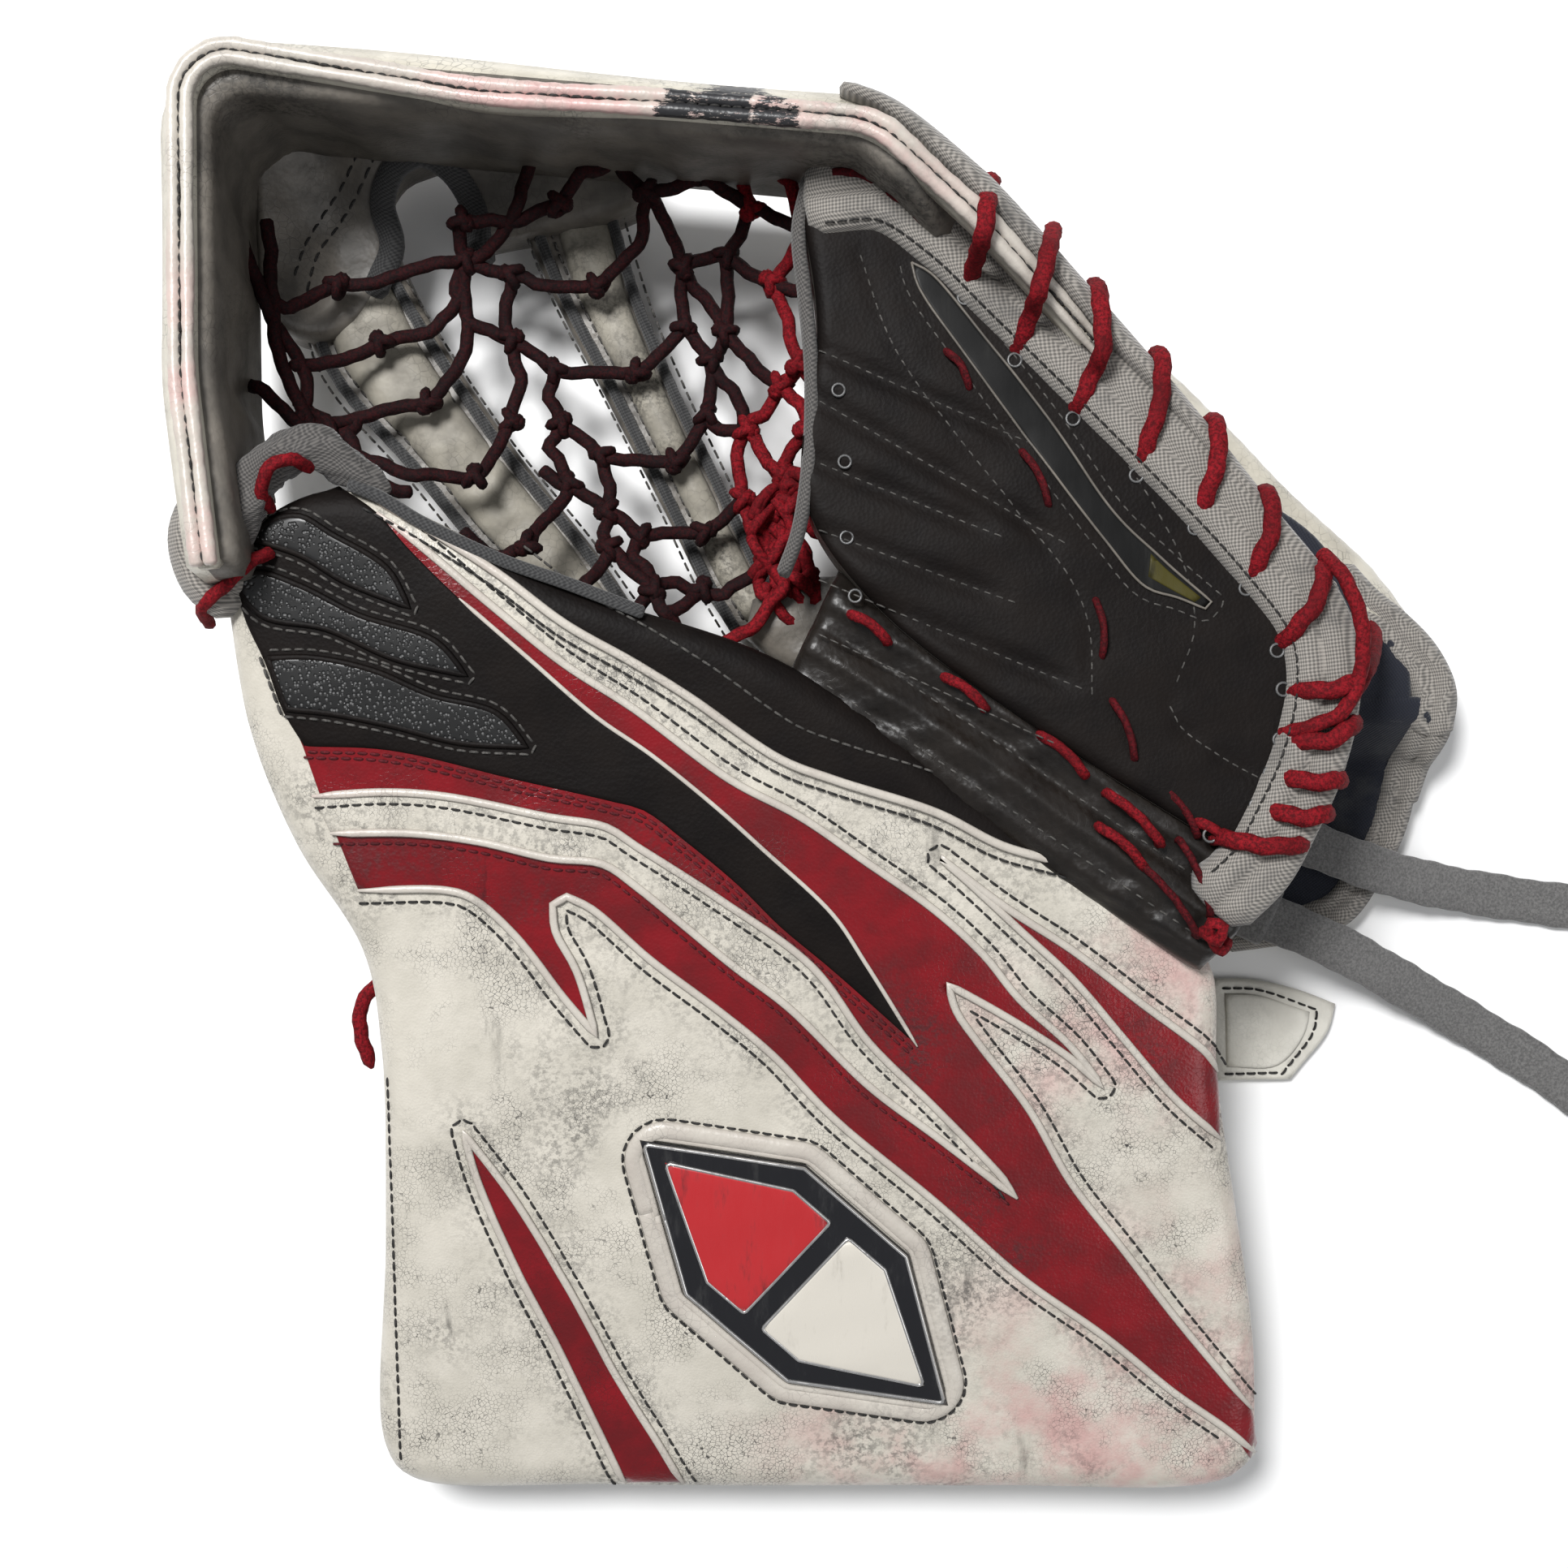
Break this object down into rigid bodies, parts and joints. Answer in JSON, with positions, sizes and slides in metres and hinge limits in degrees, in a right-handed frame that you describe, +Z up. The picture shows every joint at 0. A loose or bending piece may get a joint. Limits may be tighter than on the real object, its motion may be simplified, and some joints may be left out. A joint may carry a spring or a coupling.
{
  "type": "goalie catch glove",
  "caption": "Ice hockey goalkeeper's catch glove: padded cuff and palm boards hinged at a laced break, banded pocket with T and net, back pad, wrist flap and straps.",
  "frame": {"origin": "centre of the bounding box without the free straps, on the table that the glove lies on", "axes": "+Z up, out of the open palm; +Y from the heel of the cuff to the top of the pocket; +X from the thumb to the little finger"},
  "size_m": [0.3982, 0.3561, 0.0917],
  "materials": {
    "white_leather": "worn, matt",
    "red_leather": "satin",
    "dark_leather": "satin",
    "grey_leather": "rough suede",
    "grip_mesh": "perforated, matt",
    "foam": "matt",
    "plastic_sheet": "matt",
    "badge_black": "glossy",
    "badge_red": "glossy",
    "badge_cream": "glossy",
    "lining": "brushed cloth",
    "woven_tape": "woven nylon",
    "red_lace": "waxed, braided",
    "eyelet_metal": "polished",
    "hook_patch": "hook tape"
  },
  "bodies": {
    "cuff": {"cuff_face_leather": "white_leather", "cuff_foam": "foam", "cuff_stiffener": "plastic_sheet", "cuff_edge_gusset": "white_leather", "cuff_back_leather": "white_leather", "red_inlays": "red_leather", "dark_thumb_panel": "dark_leather", "thumb_grip_mesh": "grip_mesh", "badge_plate": "badge_black", "badge_red_inset": "badge_red", "badge_light_inset": "badge_cream", "badge_surround": "white_leather", "wrist_liner": "foam", "thumb_stall": "lining", "thumb_back_pad": "foam", "band_thumb_foam": "foam", "band_thumb_leather": "white_leather", "rim_thumb_piping": "white_leather", "thumb_tip_tape": "woven_tape", "thumb_tip_lace": "red_lace", "wrist_strap_base": "white_leather"},
    "palm": {"palm_lining": "lining", "palm_stiffener": "plastic_sheet", "palm_foam": "foam", "palm_leather": "dark_leather", "palm_edge_tape": "woven_tape", "palm_insert": "dark_leather", "finger_lacing": "red_lace", "lacing_eyelets": "eyelet_metal", "break_lace": "red_lace", "finger_side_wall": "grey_leather", "finger_stalls": "lining", "back_pad_leather": "white_leather", "back_pad_foam": "foam", "back_pad_lining": "lining", "back_pad_binding": "woven_tape", "band_finger_foam": "foam", "band_finger_leather": "white_leather", "rim_finger_piping": "white_leather", "rim_finger_pad": "white_leather"},
    "pocket": {"t_crossbar": "grey_leather", "t_leg_thumb_side": "white_leather", "t_leg_finger_side": "white_leather", "t_leg_binding": "woven_tape", "t_heel_pad": "dark_leather", "break_roll": "dark_leather", "pocket_net": "red_lace", "band_corner_foam": "foam", "band_corner_leather": "white_leather", "rim_corner_piping": "white_leather"},
    "wrist_flap": {"flap_leather": "white_leather", "flap_foam": "foam", "flap_lining": "lining", "flap_binding": "woven_tape", "upper_strap_keeper": "grey_leather", "lower_strap_keeper": "grey_leather", "upper_strap": "grey_leather", "lower_strap": "grey_leather"},
    "wrist_strap": {"wrist_strap_tab": "white_leather", "wrist_strap_hook": "hook_patch"}
  },
  "joints": [
    {"name": "glove_close", "type": "hinge", "parent": "cuff", "child": "palm", "pos_m": [0.0933, -0.0208, 0.048], "axis": [0.8289, -0.5594, 0], "range_deg": [0, 60]},
    {"name": "pocket_fold", "type": "hinge", "parent": "cuff", "child": "pocket", "pos_m": [0.0933, -0.0208, 0.048], "axis": [0.8289, -0.5594, 0], "range_deg": [0, 30]},
    {"name": "wrist_strap_fold", "type": "hinge", "parent": "cuff", "child": "wrist_strap", "pos_m": [0.09925, -0.06, 0.0015], "axis": [0, -1, 0], "range_deg": [0, 80]},
    {"name": "wrist_flap_fold", "type": "hinge", "parent": "palm", "child": "wrist_flap", "pos_m": [0.125, 0.02, 0.00475], "axis": [-1, 0, 0], "range_deg": [0, 25]}
  ],
  "couplings": [
    {"joint": "pocket_fold", "follows": "glove_close", "ratio": 0.5}
  ]
}
